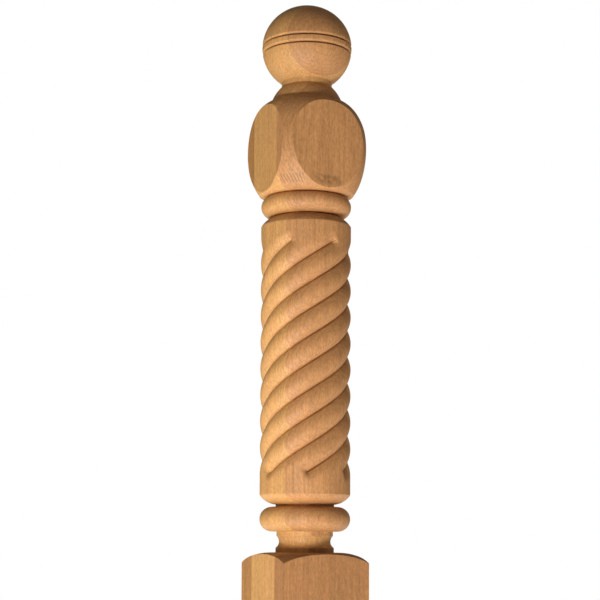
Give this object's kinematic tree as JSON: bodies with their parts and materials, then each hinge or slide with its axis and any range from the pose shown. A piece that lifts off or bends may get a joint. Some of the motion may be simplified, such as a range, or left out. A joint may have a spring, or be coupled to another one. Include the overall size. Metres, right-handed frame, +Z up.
{
  "type": "newel post",
  "caption": "Turned wooden newel post with a grooved ball top, a square upper block with oval side flats, a rope-twist shaft, a bun and neck, and a plain square lower block.",
  "frame": {"origin": "centre of the square underside, where the post stands on the floor", "axes": "+Z up along the post's axis; -Y is the front face of the blank, the one most towards the camera in the picture; +X is the post's right side seen from the front"},
  "size_m": [0.1142, 0.1142, 1.219],
  "materials": {
    "sanded_wood": "sanded, unfinished"
  },
  "bodies": {
    "root": {"newel_post": "sanded_wood"}
  },
  "joints": []
}
